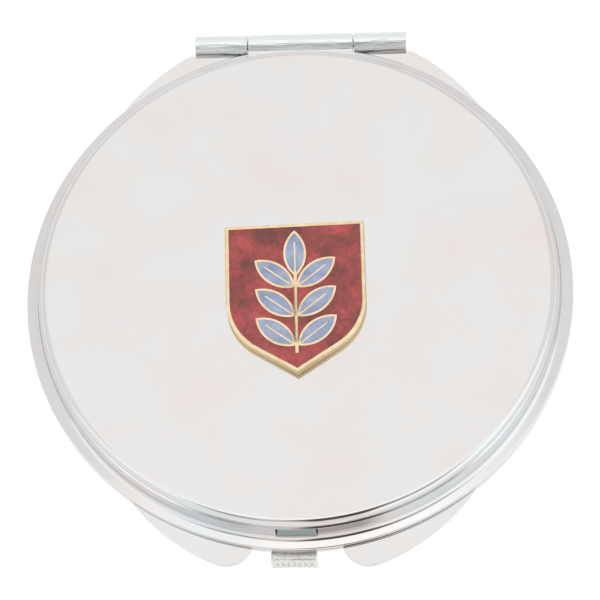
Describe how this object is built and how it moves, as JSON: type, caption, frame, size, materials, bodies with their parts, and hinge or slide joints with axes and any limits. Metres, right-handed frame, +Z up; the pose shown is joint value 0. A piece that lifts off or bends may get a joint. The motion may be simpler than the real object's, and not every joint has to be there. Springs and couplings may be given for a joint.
{
  "type": "compact mirror",
  "caption": "Round pocket compact mirror: hinged chrome lid over a plain and a magnifying mirror, closed by a sprung push-tab catch, with an enamelled shield badge on the lid.",
  "frame": {"origin": "centre of the flat underside of the base, on the axis of the round case", "axes": "+Z up through the lid, +Y towards the hinge, -Y towards the push tab"},
  "size_m": [0.07, 0.074, 0.0098],
  "materials": {
    "chrome_plate": "polished chrome plating on pressed steel",
    "polished_steel": "polished steel",
    "mirror_glass": "silvered glass",
    "foam_tape": "closed-cell adhesive foam",
    "gilt_brass": "polished pale gilt",
    "red_enamel": "mottled hard enamel, ground flush",
    "blue_enamel": "hard enamel, ground flush",
    "adhesive_film": "clear adhesive film"
  },
  "bodies": {
    "base": {"base_shell": "chrome_plate", "base_frame": "chrome_plate", "base_mirror": "mirror_glass", "base_mirror_pad": "foam_tape", "hinge_pin": "polished_steel", "catch_housing": "polished_steel", "catch_spring": "polished_steel"},
    "lid": {"lid_shell": "chrome_plate", "lid_frame": "chrome_plate", "lid_mirror": "mirror_glass", "lid_mirror_pad": "foam_tape", "badge_bond": "adhesive_film", "badge_plate": "gilt_brass", "badge_red_enamel": "red_enamel", "badge_blue_enamel": "blue_enamel"},
    "catch": {"catch_slide": "polished_steel"}
  },
  "joints": [
    {"name": "lid_hinge", "type": "hinge", "parent": "base", "child": "lid", "pos_m": [0, 0.03568, 0.00455], "axis": [-1, 0, 0], "range_deg": [0, 175]},
    {"name": "catch_press", "type": "slide", "parent": "base", "child": "catch", "axis": [0, 1, 0], "range_m": [0, 0.0009], "stiffness_N_per_m": 2000, "springref_m": -0.0005, "deforming": ["catch_spring"]}
  ]
}
